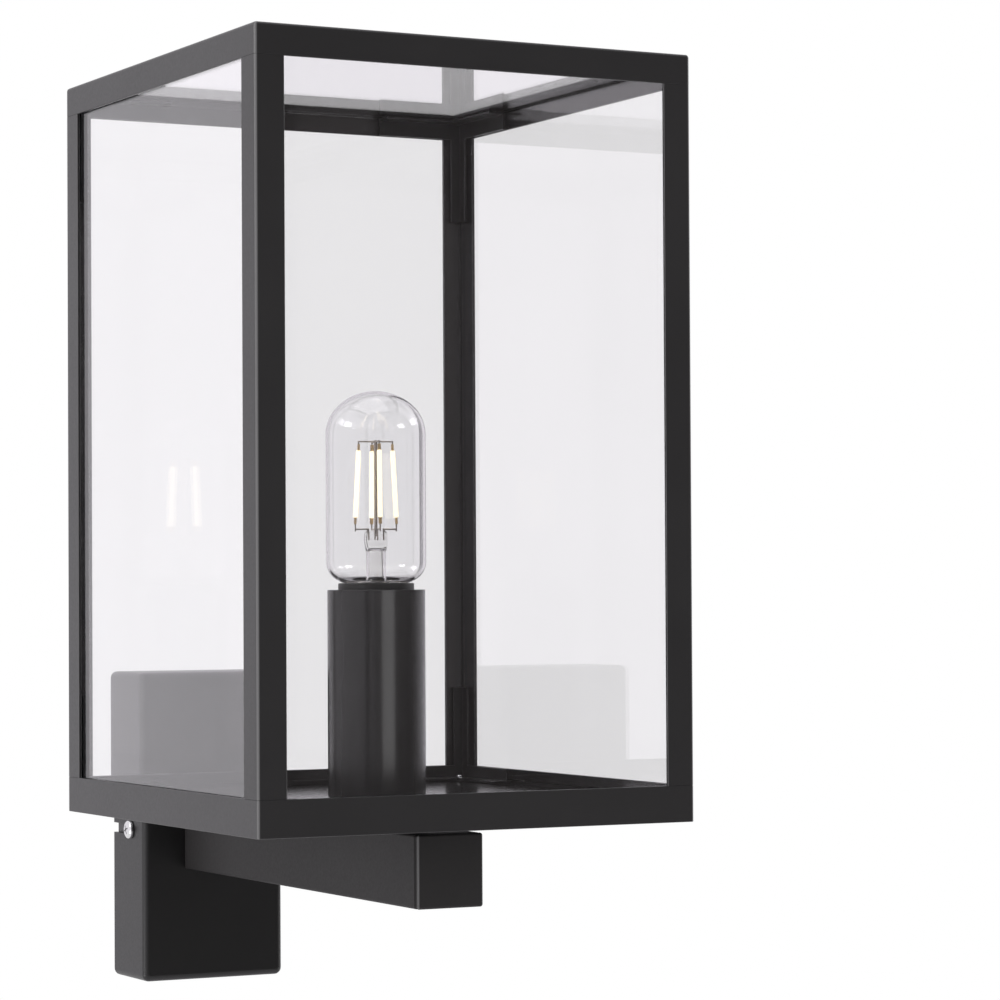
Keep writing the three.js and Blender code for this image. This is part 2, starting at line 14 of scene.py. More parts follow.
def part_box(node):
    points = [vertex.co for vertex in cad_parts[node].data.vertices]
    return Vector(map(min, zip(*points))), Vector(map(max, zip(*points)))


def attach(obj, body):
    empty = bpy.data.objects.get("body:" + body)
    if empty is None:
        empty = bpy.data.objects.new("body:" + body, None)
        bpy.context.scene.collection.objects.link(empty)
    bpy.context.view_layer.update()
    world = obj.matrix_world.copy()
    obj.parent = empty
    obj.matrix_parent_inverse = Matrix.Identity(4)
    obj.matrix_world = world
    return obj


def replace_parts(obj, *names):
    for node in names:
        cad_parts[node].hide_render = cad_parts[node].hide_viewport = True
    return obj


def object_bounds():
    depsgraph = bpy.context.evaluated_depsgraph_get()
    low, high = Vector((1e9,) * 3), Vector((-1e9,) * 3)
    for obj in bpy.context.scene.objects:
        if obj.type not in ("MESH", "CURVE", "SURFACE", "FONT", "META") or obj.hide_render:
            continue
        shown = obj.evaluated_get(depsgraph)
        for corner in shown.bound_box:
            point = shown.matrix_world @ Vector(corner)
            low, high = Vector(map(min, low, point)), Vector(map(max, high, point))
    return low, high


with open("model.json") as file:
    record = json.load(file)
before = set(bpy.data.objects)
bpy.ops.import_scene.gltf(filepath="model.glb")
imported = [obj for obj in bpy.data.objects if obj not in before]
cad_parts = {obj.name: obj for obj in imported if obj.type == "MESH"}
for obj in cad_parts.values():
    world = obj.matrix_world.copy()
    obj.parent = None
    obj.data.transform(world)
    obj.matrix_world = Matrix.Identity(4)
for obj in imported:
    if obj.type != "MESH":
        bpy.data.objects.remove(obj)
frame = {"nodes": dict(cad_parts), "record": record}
cad_bounds = [list(corner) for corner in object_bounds()]

BODY_OF = {node: body for body, nodes in frame["record"]["behaviour"]["bodies"].items() for node in nodes}
MM = 0.001
QUARTER = math.pi / 2


# ---- driving dimensions that the frame's boxes don't give ----

SHEET = 2 * MM  # wall of the box and of the arm
BOX_CORNER = 3.5 * MM
BOX_EDGE = 3.2 * MM  # rounding round the box's front
ARM_CORNER = 1.2 * MM
ARM_EASE = 0.9 * MM  # chamfer on both sides of the seam between the arm and its end cap
CAP_EASE = 1.1 * MM  # rounding round the end cap's face
ARRIS = 1.5 * MM  # rounding of the cage's outer edges
TIP = 0.35 * MM  # and of its other edges
EASE = 0.4 * MM  # chamfer of rims and bores
PIECE_GAP = 0.3 * MM  # between pieces that touch
SLOT_HALF = 2.4 * MM
LEAD_HOLE = 5 * MM
TUBE_HOLE = 5.3 * MM
SIDE_SCREW_HEAD = (4.5 * MM, 2.6 * MM)  # radius and height
PAN_HEAD = (3.6 * MM, 2.2 * MM)
M4_RADIUS = 1.9 * MM
M4_PITCH = 0.7 * MM
LAMP_TUBE_RADIUS = 5 * MM
LAMP_TUBE_BORE = 4 * MM
LAMP_TUBE_PITCH = 1 * MM
NUT_BORE = 5.1 * MM
STUD_NUT = (4 * MM, 3.2 * MM)  # radius and height
RECESS_HALF = 0.35 * MM  # half the width of a screw's cross or slot
RECESS_EDGE = 0.05 * MM
RECESS_TURN = 0.4  # of the cross screws' recess, in radians
TERMINAL_SCREW_RADIUS = 2.1 * MM
TERMINAL_SCREW_FOOT = 5.8 * MM  # below the terminal block's face
TERMINAL_SCREW_TOP = 2.6 * MM
SLEEVE_WALL = 1.5 * MM
CAP_PITCH = 3.628 * MM  # the screw cap's thread, one turn
CAP_RADIUS = 13.1 * MM
SHELL_BORE = 13.7 * MM
BULB_NECK = 11.8 * MM
BULB_WALL = 0.8 * MM
SHOULDER_RISE = 9.7 * MM
DOME_RISE = 19.3 * MM
FILAMENT_SPREAD = (9.4 * MM, 7.8 * MM)  # from the axis to a filament's lower and upper end
FILAMENT_RADIUS = 1.05 * MM
WIRE_RADIUS = 0.35 * MM


# ---- camera ----

CAMERA_PLACE = (-0.6858, -1.5811, 0.1161)
CAMERA_YAW = math.radians(26.841)  # from +Y towards +X
CAMERA_PITCH = math.radians(1.048)  # above the horizon
CAMERA_ROLL = math.radians(-0.268)
CAMERA_LENS = 122.07  # for a sensor 36 mm wide
CAMERA_SHIFT = (0.1175, 0.0281)


def make_camera():
    data = bpy.data.cameras.new("camera")
    data.lens = CAMERA_LENS
    data.sensor_width = 36
    data.shift_x, data.shift_y = CAMERA_SHIFT
    data.clip_end = 100
    camera = bpy.data.objects.new("camera", data)
    turn = Matrix.Rotation(-CAMERA_YAW, 4, "Z") @ Matrix.Rotation(QUARTER + CAMERA_PITCH, 4, "X")
    camera.matrix_world = Matrix.Translation(CAMERA_PLACE) @ turn @ Matrix.Rotation(CAMERA_ROLL, 4, "Z")
    bpy.context.scene.collection.objects.link(camera)
    bpy.context.scene.camera = camera


make_camera()


# ---- mesh tools ----


def finished_mesh(name, vertices, faces, smooth_degrees=35):
    """A clean mesh with its faces outwards, smooth except across sharp edges."""
    mesh = bpy.data.meshes.new(name)
    mesh.from_pydata(vertices, [], faces)
    return cleaned(mesh, smooth_degrees)


def cleaned(mesh, smooth_degrees=35):
    work = bmesh.new()
    work.from_mesh(mesh)
    bmesh.ops.remove_doubles(work, verts=work.verts, dist=2e-7)
    bmesh.ops.dissolve_degenerate(work, edges=work.edges, dist=2e-7)
    bmesh.ops.recalc_face_normals(work, faces=work.faces)
    work.to_mesh(mesh)
    work.free()
    return shaded(mesh, smooth_degrees)


def shaded(mesh, smooth_degrees):
    """Smooth normals that lean towards the larger faces, so a flat face stays flat beside a rounded edge."""
    mesh.shade_smooth()
    limit = math.cos(math.radians(smooth_degrees))
    faces = [(face.normal.copy(), face.area) for face in mesh.polygons]
    around = [[] for _ in mesh.vertices]
    for face in mesh.polygons:
        for vertex in face.vertices:
            around[vertex].append(faces[face.index])
    normals = [Vector()] * len(mesh.loops)
    for face in mesh.polygons:
        own = faces[face.index][0]
        for corner, vertex in zip(face.loop_indices, face.vertices):
            total = Vector()
            for normal, area in around[vertex]:
                if own.dot(normal) > limit:
                    total += normal * area
            normals[corner] = total.normalized()
    mesh.normals_split_custom_set(normals)
    return mesh


def skin(name, rows, wrap_rows=False, wrap_columns=True, caps=True, smooth_degrees=35):
    """A surface through rows of points. Rows that don't wrap end in flat caps."""
    count = len(rows[0])
    vertices = [point for row in rows for point in row]
    faces = []
    for r in range(len(rows) if wrap_rows else len(rows) - 1):
        here, there = r * count, (r + 1) % len(rows) * count
        for c in range(count if wrap_columns else count - 1):
            after = (c + 1) % count
            faces.append((here + c, here + after, there + after, there + c))
    if caps and not wrap_rows:
        last = (len(rows) - 1) * count
        faces.append(tuple(reversed(range(count))))
        faces.append(tuple(range(last, last + count)))
    return finished_mesh(name, vertices, faces, smooth_degrees)


def rounded(corners, steps=4):
    """A closed outline whose corners (x, y, radius) are rounded."""
    outline = []
    for i, (x, y, radius) in enumerate(corners):
        here = Vector((x, y))
        if radius <= 0:
            outline.append(here)
            continue
        back = (Vector(corners[i - 1][:2]) - here).normalized()
        ahead = (Vector(corners[(i + 1) % len(corners)][:2]) - here).normalized()
        half_angle = back.angle(ahead) / 2
        centre = here + (back + ahead).normalized() * radius / math.sin(half_angle)
        start = here + back * radius / math.tan(half_angle) - centre
        end = here + ahead * radius / math.tan(half_angle) - centre
        sweep = start.angle_signed(end)
        for step in range(steps + 1):
            outline.append(centre + Matrix.Rotation(-sweep * step / steps, 2) @ start)
    return outline


def turned(name, outline, centre, segments=96, open_ended=False, smooth_degrees=35):
    """An outline of (radius, height) turned round the vertical through centre.

    An open one runs from axis to axis.
    """
    rows = []
    for step in range(segments):
        angle = 2 * math.pi * step / segments
        across = Vector((math.cos(angle), math.sin(angle), 0))
        rows.append([centre + across * radius + Vector((0, 0, height)) for radius, height in outline])
    return skin(name, rows, True, not open_ended, False, smooth_degrees)


def rectangle(width, height, radius, steps=6):
    """A rounded rectangle round the origin, always with the same number of points."""
    points = []
    for quarter in range(4):
        turn = quarter * QUARTER
        sign_x = 1 if quarter in (0, 3) else -1
        sign_y = 1 if quarter in (0, 1) else -1
        middle = Vector((sign_x * (width / 2 - radius), sign_y * (height / 2 - radius)))
        for step in range(steps + 1):
            angle = turn + QUARTER * step / steps
            points.append(middle + radius * Vector((math.cos(angle), math.sin(angle))))
    return points


def slab(name, low, high, edge):
    """A box with small flat bevels along every edge."""
    low, high = Vector(low), Vector(high)
    middle, size = (low + high) / 2, high - low
    rows = []
    for height, inset in ((low.z, edge), (low.z + edge, 0), (high.z - edge, 0), (high.z, edge)):
        ring = rectangle(size.x - 2 * inset, size.y - 2 * inset, max(edge - inset, 0) + 0.01 * MM, 1)
        rows.append([Vector((middle.x + p.x, middle.y + p.y, height)) for p in ring])
    return skin(name, rows)


def rod(name, start, end, radius, sides=12, edge=0.0):
    """A round bar between two points, with its ends eased by edge."""
    start, end = Vector(start), Vector(end)
    way = (end - start).normalized()
    side = way.orthogonal().normalized()
    other = way.cross(side)
    stations = [
        (start, radius - edge),
        (start + way * edge, radius),
        (end - way * edge, radius),
        (end, radius - edge),
    ]
    rows = []
    for place, size in stations:
        angles = [2 * math.pi * k / sides for k in range(sides)]
        rows.append([place + size * (side * math.cos(a) + other * math.sin(a)) for a in angles])
    return skin(name, rows)


def moved(mesh, matrix):
    mesh.transform(matrix)
    return mesh


def joined(name, meshes):
    """Several meshes in one."""
    work = bmesh.new()
    for mesh in meshes:
        work.from_mesh(mesh)
    whole = bpy.data.meshes.new(name)
    work.to_mesh(whole)
    work.free()
    return whole


def carved(mesh, cutters, smooth_degrees=35):
    """The mesh with the cutters taken away."""
    body = bpy.data.objects.new("carving", mesh)
    bpy.context.scene.collection.objects.link(body)
    helpers = []
    for cutter in cutters:
        helper = bpy.data.objects.new("cutter", cutter)
        bpy.context.scene.collection.objects.link(helper)
        step = body.modifiers.new("cut", "BOOLEAN")
        step.operation = "DIFFERENCE"
        step.solver = "EXACT"
        step.object = helper
        helpers.append(helper)
    evaluated = body.evaluated_get(bpy.context.evaluated_depsgraph_get())
    result = bpy.data.meshes.new_from_object(evaluated)
    for helper in [body, *helpers]:
        bpy.data.objects.remove(helper)
    return cleaned(result, smooth_degrees)


def softened(node, width, segments=2, smooth_degrees=35):
    """A copy of a CAD node's mesh with its flat faces whole and its edges eased."""
    work = bmesh.new()
    work.from_mesh(frame["nodes"][node].data)
    bmesh.ops.remove_doubles(work, verts=work.verts, dist=1e-6)
    bmesh.ops.dissolve_limit(work, angle_limit=math.radians(1), verts=work.verts, edges=work.edges)
    sharp = [e for e in work.edges if e.is_manifold and e.calc_face_angle(0) > math.radians(40)]
    bmesh.ops.bevel(
        work, geom=sharp, offset=width, segments=segments, profile=0.5, affect="EDGES", clamp_overlap=True
    )
    mesh = bpy.data.meshes.new(node)
    work.to_mesh(mesh)
    work.free()
    return cleaned(mesh, smooth_degrees)


def smoothed(node):
    """A copy of a CAD tube's mesh, rounded by one subdivision."""
    work = bmesh.new()
    work.from_mesh(frame["nodes"][node].data)
    bmesh.ops.remove_doubles(work, verts=work.verts, dist=1e-6)
    limit = math.radians(60)
    bmesh.ops.join_triangles(work, faces=work.faces, angle_face_threshold=limit, angle_shape_threshold=limit)
    mesh = bpy.data.meshes.new(node)
    work.to_mesh(mesh)
    work.free()
    body = bpy.data.objects.new("smoothing", mesh)
    bpy.context.scene.collection.objects.link(body)
    body.modifiers.new("round", "SUBSURF").levels = 1
    result = bpy.data.meshes.new_from_object(body.evaluated_get(bpy.context.evaluated_depsgraph_get()))
    bpy.data.objects.remove(body)
    return cleaned(result, 60)


# ---- materials ----

NOISE_SPAN = (0.3, 0.7)  # where nearly all of the noise lies
RIM_SHADE_FADE = (0.6, 0.98)  # how slanted blown glass is seen where its painted dark rim starts and is full
# colour of the painted highlight along upright rounded edges of the satin black paint
EDGE_HIGHLIGHT_COLOUR = (0.12, 0.117, 0.12)
EDGE_HIGHLIGHT_SLANT = (0.14, 0.53)  # the smaller of the normal's X and Y, where the painted edge highlight starts and is full


def start_material(name):
    """A new material, its node tree and its Principled shader."""
    material = bpy.data.materials.new(name)
    material.use_nodes = True
    tree = material.node_tree
    return material, tree, tree.nodes["Principled BSDF"]


def noise(tree, scale, detail=3.0):
    """Noise over the object's own coordinates, in cells per metre."""
    place = tree.nodes.new("ShaderNodeTexCoord")
    texture = tree.nodes.new("ShaderNodeTexNoise")
    texture.inputs["Scale"].default_value = scale
    texture.inputs["Detail"].default_value = detail
    tree.links.new(place.outputs["Object"], texture.inputs["Vector"])
    return texture.outputs["Fac"]


def between(tree, factor, low, high):
    """A number that runs from low to high with the noise."""
    spread = tree.nodes.new("ShaderNodeMapRange")
    spread.inputs["From Min"].default_value, spread.inputs["From Max"].default_value = NOISE_SPAN
    spread.inputs["To Min"].default_value = low
    spread.inputs["To Max"].default_value = high
    tree.links.new(factor, spread.inputs["Value"])
    return spread.outputs["Result"]


def two_colours(tree, factor, first, second):
    """A colour that runs from first to second with the noise."""
    ramp = tree.nodes.new("ShaderNodeValToRGB")
    ramp.color_ramp.elements[0].position, ramp.color_ramp.elements[1].position = NOISE_SPAN
    ramp.color_ramp.elements[0].color = (*first, 1)
    ramp.color_ramp.elements[1].color = (*second, 1)
    tree.links.new(factor, ramp.inputs["Fac"])
    return ramp.outputs["Color"]


def add_bump(tree, shader, factor, strength):
    bump = tree.nodes.new("ShaderNodeBump")
    bump.inputs["Strength"].default_value = strength
    bump.inputs["Distance"].default_value = 0.05 * MM
    tree.links.new(factor, bump.inputs["Height"])
    tree.links.new(bump.outputs["Normal"], shader.inputs["Normal"])


def painted_edge_highlight(tree, colour, edge_highlight_colour):
    """The colour, passing into a lighter painted highlight on upright rounded edges, between faces along X
    and along Y.
    """
    nodes, links = tree.nodes, tree.links
    geometry, size, parts = (nodes.new(kind) for kind in (
        "ShaderNodeNewGeometry", "ShaderNodeVectorMath", "ShaderNodeSeparateXYZ",
    ))
    size.operation = "ABSOLUTE"
    links.new(geometry.outputs["Normal"], size.inputs[0])
    links.new(size.outputs["Vector"], parts.inputs["Vector"])
    smaller = nodes.new("ShaderNodeMath")
    smaller.operation = "MINIMUM"
    links.new(parts.outputs["X"], smaller.inputs[0])
    links.new(parts.outputs["Y"], smaller.inputs[1])
    slant = nodes.new("ShaderNodeMapRange")
    slant.inputs["From Min"].default_value, slant.inputs["From Max"].default_value = EDGE_HIGHLIGHT_SLANT
    mix = nodes.new("ShaderNodeMixRGB")
    mix.inputs["Color2"].default_value = (*edge_highlight_colour, 1)
    links.new(smaller.outputs["Value"], slant.inputs["Value"])
    links.new(slant.outputs["Result"], mix.inputs["Fac"])
    links.new(colour, mix.inputs["Color1"])
    return mix.outputs["Color"]


def surface(name, colours, roughness, metallic=0.0, grain=900, bump=0.1, index=1.5, edge_highlight_colour=None):
    """A finish whose colour, roughness and bump all vary a little with fine noise."""
    material, tree, shader = start_material(name)
    fine = noise(tree, grain, 4)
    colour = two_colours(tree, noise(tree, 14, 3), *colours)
    # optionally a painted highlight along the upright rounded edges
    if edge_highlight_colour:
        colour = painted_edge_highlight(tree, colour, edge_highlight_colour)
    tree.links.new(colour, shader.inputs["Base Color"])
    tree.links.new(between(tree, fine, *roughness), shader.inputs["Roughness"])
    shader.inputs["Metallic"].default_value = metallic
    shader.inputs["IOR"].default_value = index
    add_bump(tree, shader, fine, bump)
    return material


def clear_glass(name, tint, roughness, index, rim=None):
    """Clear glass with a faint tint that wanders slightly over it. Blown glass also gets a darker rim where
    it is seen slantwise, as painted shade.
    """
    material, tree, shader = start_material(name)
    colour = two_colours(tree, noise(tree, 9, 2), *tint)
    # painted shade: the colour darkens where the glass is seen slantwise
    if rim:
        weight = tree.nodes.new("ShaderNodeLayerWeight")
        edge = tree.nodes.new("ShaderNodeMapRange")
        edge.inputs["From Min"].default_value, edge.inputs["From Max"].default_value = RIM_SHADE_FADE
        blend = tree.nodes.new("ShaderNodeMixRGB")
        blend.inputs["Color2"].default_value = (*rim, 1)
        tree.links.new(weight.outputs["Facing"], edge.inputs["Value"])
        tree.links.new(edge.outputs["Result"], blend.inputs["Fac"])
        tree.links.new(colour, blend.inputs["Color1"])
        colour = blend.outputs["Color"]
    tree.links.new(colour, shader.inputs["Base Color"])
    tree.links.new(between(tree, noise(tree, 60, 2), *roughness), shader.inputs["Roughness"])
    shader.inputs["Transmission Weight"].default_value = 1
    shader.inputs["IOR"].default_value = index
    return material


def glowing(name, colours, strength):
    """Phosphor that glows evenly, with a grainy coat."""
    material, tree, shader = start_material(name)
    grain = noise(tree, 2500, 3)
    colour = two_colours(tree, grain, *colours)
    tree.links.new(colour, shader.inputs["Base Color"])
    tree.links.new(colour, shader.inputs["Emission Color"])
    shader.inputs["Emission Strength"].default_value = strength
    shader.inputs["Roughness"].default_value = 0.6
    add_bump(tree, shader, grain, 0.2)
    return material


# satin black paint, with a painted highlight along its upright rounded edges
PAINT = surface(
    "satin_black_paint", ((0.0155, 0.0145, 0.0155), (0.0195, 0.0185, 0.0195)), (0.34, 0.42),
    edge_highlight_colour=EDGE_HIGHLIGHT_COLOUR,
)
# the satin black paint made much darker for the wall box: painted shade
BOX_PAINT_DARKENED_FOR_SHADE = surface(
    "box_black_paint_painted_shade", ((0.0045, 0.0042, 0.0045), (0.0065, 0.006, 0.0065)), (0.36, 0.44), index=1.46,
)
# a lighter copy of the satin black paint for the arm and its end cap: painted light; its gloss is rougher and
# weaker
ARM_LIGHTENED_LOOK = (((0.02, 0.0185, 0.019), (0.024, 0.0222, 0.0228)), (0.52, 0.6))
ARM_PAINT_LIGHTENED = surface("arm_black_paint_painted_light", *ARM_LIGHTENED_LOOK, index=1.3)
CAP_PAINT_LIGHTENED = surface("cap_black_paint_painted_light", *ARM_LIGHTENED_LOOK, index=1.3, edge_highlight_colour=EDGE_HIGHLIGHT_COLOUR)
TRAY_PAINT = surface(
    "tray_black_paint", ((0.015, 0.0148, 0.0155), (0.019, 0.0187, 0.0195)), (0.14, 0.2), bump=0.03,
)
SLEEVE_PAINT = surface(
    "sleeve_black_paint", ((0.016, 0.0155, 0.0162), (0.02, 0.0195, 0.0205)), (0.2, 0.27), bump=0.04,
)
ZINC = surface("zinc_plate", ((0.5, 0.5, 0.5), (0.66, 0.65, 0.6)), (0.28, 0.45), 1.0, 500, 0.15)
SCREW_STEEL = surface(
    "stainless_steel", ((0.68, 0.68, 0.68), (0.78, 0.78, 0.79)), (0.16, 0.28), 1.0, 1500, 0.08,
)
NICKEL = surface("bright_nickel", ((0.68, 0.66, 0.61), (0.8, 0.78, 0.74)), (0.12, 0.24), 1.0, 1200, 0.05)
BRASS = surface("plain_brass", ((0.72, 0.52, 0.22), (0.82, 0.63, 0.32)), (0.2, 0.34), 1.0, 1200, 0.06)
BLACK_PLASTIC = surface(
    "black_plastic", ((0.018, 0.018, 0.019), (0.026, 0.026, 0.027)), (0.4, 0.55), 0.0, 1600, 0.15,
)
WHITE_PLASTIC = surface("white_plastic", ((0.74, 0.72, 0.66), (0.82, 0.8, 0.75)), (0.4, 0.5), 0.0, 1200, 0.1)
BROWN_LEAD = surface(
    "brown_silicone", ((0.13, 0.05, 0.02), (0.18, 0.075, 0.035)), (0.42, 0.55), 0.0, 1500, 0.1,
)
BLUE_LEAD = surface("blue_silicone", ((0.03, 0.11, 0.36), (0.05, 0.16, 0.46)), (0.42, 0.55), 0.0, 1500, 0.1)
WIRE = surface("support_wire", ((0.42, 0.38, 0.33), (0.55, 0.5, 0.45)), (0.3, 0.45), 1.0, 2500, 0.1)
TAB = surface("filament_tab", ((0.78, 0.52, 0.22), (0.9, 0.66, 0.36)), (0.35, 0.5), 0.0, 2500, 0.1)
PANE = clear_glass("pane_glass", ((0.985, 0.98, 0.988), (0.975, 0.97, 0.978)), (0.0, 0.004), 1.62)
# the bulb and its stem carry the painted dark rim
BULB = clear_glass(
    "bulb_glass", ((0.99, 0.988, 0.992), (0.98, 0.978, 0.985)), (0.0, 0.01), 1.5, rim=(0.38, 0.36, 0.355),
)
STEM_GLASS = clear_glass(
    "stem_glass", ((0.985, 0.98, 0.975), (0.95, 0.945, 0.94)), (0.0, 0.03), 1.5, rim=(0.45, 0.42, 0.4),
)
PHOSPHOR = glowing("warm_phosphor", ((1.0, 0.86, 0.58), (1.0, 0.92, 0.7)), 1.4)


def striped_lead():
    """Green insulation with a yellow stripe down each side."""
    material, tree, shader = start_material("green_yellow_silicone")
    wave = tree.nodes.new("ShaderNodeTexWave")
    place = tree.nodes.new("ShaderNodeTexCoord")
    wave.inputs["Scale"].default_value = 90
    wave.inputs["Distortion"].default_value = 1.5
    tree.links.new(place.outputs["Object"], wave.inputs["Vector"])
    colour = two_colours(tree, wave.outputs["Fac"], (0.08, 0.26, 0.03), (0.72, 0.6, 0.04))
    tree.links.new(colour, shader.inputs["Base Color"])
    tree.links.new(between(tree, noise(tree, 1500), 0.42, 0.55), shader.inputs["Roughness"])
    return material


GREEN_LEAD = striped_lead()


# ---- pieces and the CAD nodes that they stand for ----


def add_piece(name, mesh, material, body):
    piece = bpy.data.objects.new(name, mesh)
    bpy.context.scene.collection.objects.link(piece)
    mesh.materials.clear()
    mesh.materials.append(material)
    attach(piece, body)
    return piece


def stand_for(node, mesh, material):
    """A fine piece that stands for one CAD node, on that node's body, with the node hidden."""
    piece = add_piece(node + "_fine", mesh, material, BODY_OF[node])
    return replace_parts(piece, node)


# ---- cage ----

cage_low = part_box("post_front_left")[0].copy()
cage_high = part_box("post_rear_right")[1].copy()
cage_low.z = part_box("bottom_rail_front")[0].z
cage_high.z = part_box("top_rail_front")[1].z
CAGE_MIDDLE = Vector(((cage_low.x + cage_high.x) / 2, (cage_low.y + cage_high.y) / 2, 0))
CAGE_HALF = (cage_high.x - cage_low.x) / 2
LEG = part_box("post_front_left")[1].x - cage_low.x
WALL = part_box("bottom_rail_front")[1].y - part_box("bottom_rail_front")[0].y
SIDES = ("front", "right", "rear", "left")
CORNERS = ("front_left", "front_right", "rear_right", "rear_left")


def quarter_turn(quarter):
    """Turns a piece made at the cage's front to another side."""
    turn = Matrix.Rotation(quarter * QUARTER, 4, "Z")
    return Matrix.Translation(CAGE_MIDDLE) @ turn @ Matrix.Translation(-CAGE_MIDDLE)


def frame_side(name, section, quarter):
    """One side of a square frame with rounded corners, mitred.

    The section is (inwards, height) from the outer face.
    """
    rows = []
    steps = 3
    angles = [QUARTER / 2 * k / steps for k in range(steps, -1, -1)]
    for side, angle in [(-1, a) for a in angles] + [(1, a) for a in reversed(angles)]:
        row = []
        for inward, height in section:
            reach = max(ARRIS - inward, 0)
            base = CAGE_HALF - max(inward, ARRIS)
            x = side * (base + reach * math.sin(angle))
            y = -(base + reach * math.cos(angle))
            row.append(CAGE_MIDDLE + Vector((x, y, height)))
        rows.append(row)
    return moved(skin(name, rows), quarter_turn(quarter))


def make_frame():
    top, bottom = cage_high.z, cage_low.z
    top_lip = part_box("top_rail_front")[0].z
    bottom_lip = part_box("bottom_rail_front")[1].z
    angle_section = rounded([
        (0, top, ARRIS), (0, top_lip, TIP), (WALL, top_lip, TIP),
        (WALL, top - WALL, 0), (LEG, top - WALL, TIP), (LEG, top, TIP),
    ])
    bar_section = rounded([
        (0, bottom, TIP), (WALL, bottom, TIP), (WALL, bottom_lip, TIP), (0, bottom_lip, TIP),
    ])
    for quarter, side in enumerate(SIDES):
        stand_for(f"top_rail_{side}", frame_side("rail", angle_section, quarter), PAINT)
        stand_for(f"bottom_rail_{side}", frame_side("rail", bar_section, quarter), PAINT)
    post_section = rounded([
        (0, 0, ARRIS), (LEG, 0, TIP), (LEG, WALL, TIP), (WALL, WALL, 0), (WALL, LEG, TIP), (0, LEG, TIP),
    ])
    for quarter, corner in enumerate(CORNERS):
        rows = []
        for height in (bottom_lip, top_lip):
            rows.append([Vector((cage_low.x + p.x, cage_low.y + p.y, height)) for p in post_section])
        stand_for(f"post_{corner}", moved(skin("post", rows), quarter_turn(quarter)), PAINT)


make_frame()

for clip in [node for node in frame["nodes"] if node.startswith("clip_")]:
    stand_for(clip, softened(clip, 0.25 * MM), PAINT)

for side in (*SIDES, "top"):
    stand_for(f"pane_{side}", slab("pane", *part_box(f"pane_{side}"), EASE), PANE)


# ---- wall box and arm ----


def wall_box():
    """A pressed box, open at the back, with rounded edges and a slot in each side for the side screws."""
    low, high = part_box("wall_box")
    width, height = high.x - low.x, high.z - low.z
    middle = (low.z + high.z) / 2
    steps = 6

    def ring(inset, y):
        outline = rectangle(width - 2 * inset, height - 2 * inset, max(BOX_CORNER - inset, 0.2 * MM))
        return [Vector((p.x, y, middle + p.y)) for p in outline]

    rows = [ring(SHEET, low.y + SHEET), ring(SHEET, high.y), ring(EASE, high.y), ring(0, high.y - EASE)]
    for step in range(steps + 1):
        angle = QUARTER * step / steps
        rows.append(ring(BOX_EDGE * (1 - math.cos(angle)), low.y + BOX_EDGE * (1 - math.sin(angle))))
    screw = sum(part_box("side_screw_left"), Vector()) / 2
    outline = []
    slot_steps = 10
    for step in range(slot_steps + 1):
        angle = math.pi * step / slot_steps
        outline.append((screw.y - SLOT_HALF * math.sin(angle), screw.z + SLOT_HALF * math.cos(angle)))
    outline += [(high.y + MM, screw.z - SLOT_HALF), (high.y + MM, screw.z + SLOT_HALF)]
    cutters = []
    for side in (-1, 1):
        spans = [side * (width / 2 - SHEET - MM), side * (width / 2 + MM)]
        cutters.append(skin("slot", [[Vector((x, y, z)) for y, z in outline] for x in spans]))
    bore_height = (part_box("arm")[0].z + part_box("arm")[1].z) / 2
    front = [Vector((0, low.y - MM, bore_height)), Vector((0, low.y + SHEET + MM, bore_height))]
    cutters.append(rod("bore", *front, LEAD_HOLE, 32))
    return carved(skin("wall_box", rows), cutters)


def square_tube(node, radius, wall):
    """A square tube along Y with rounded corners, open at both ends, bored from above for the lamp tube."""
    low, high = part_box(node)
    middle = (low.z + high.z) / 2
    side = high.x - low.x

    def ring(inset, y):
        outline = rectangle(side - 2 * inset, side - 2 * inset, max(radius - inset, EASE / 2), 8)
        return [Vector((p.x, y, middle + p.y)) for p in outline]

    stations = [
        (EASE, high.y), (0, high.y - EASE), (0, low.y + ARM_EASE), (ARM_EASE, low.y),
        (wall - EASE, low.y), (wall, low.y + EASE), (wall, high.y - EASE), (wall - EASE, high.y),
    ]
    tube = skin(node, [ring(*station) for station in stations], wrap_rows=True)
    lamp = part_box("lamp_tube")
    axis = (lamp[0] + lamp[1]) / 2
    bore = rod("bore", (axis.x, axis.y, middle), (axis.x, axis.y, high.z + MM), TUBE_HOLE, 32)
    return carved(tube, [bore])


def arm_cap():
    """The arm's end cap: a plate with eased edges over a plug that grips inside the tube."""
    low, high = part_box("arm_end_cap")
    middle = (low.z + high.z) / 2
    side = high.x - low.x
    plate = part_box("arm")[0].y - PIECE_GAP
    grip = side - 2 * SHEET - 0.8 * MM

    def ring(size, radius, y):
        return [Vector((p.x, y, middle + p.y)) for p in rectangle(size, size, radius, 8)]

    rows = [ring(grip - MM, 0.5 * MM, high.y), ring(grip, MM, high.y - 0.5 * MM), ring(grip, MM, plate)]
    rows.append(ring(side - 2 * ARM_EASE, ARM_CORNER - ARM_EASE, plate))
    rows.append(ring(side, ARM_CORNER, plate - ARM_EASE))
    steps = 4
    for step in range(steps + 1):
        angle = QUARTER * step / steps
        inset = CAP_EASE * (1 - math.cos(angle))
        rows.append(ring(side - 2 * inset, ARM_CORNER - inset, low.y + CAP_EASE * (1 - math.sin(angle))))
    return skin("arm_end_cap", rows)


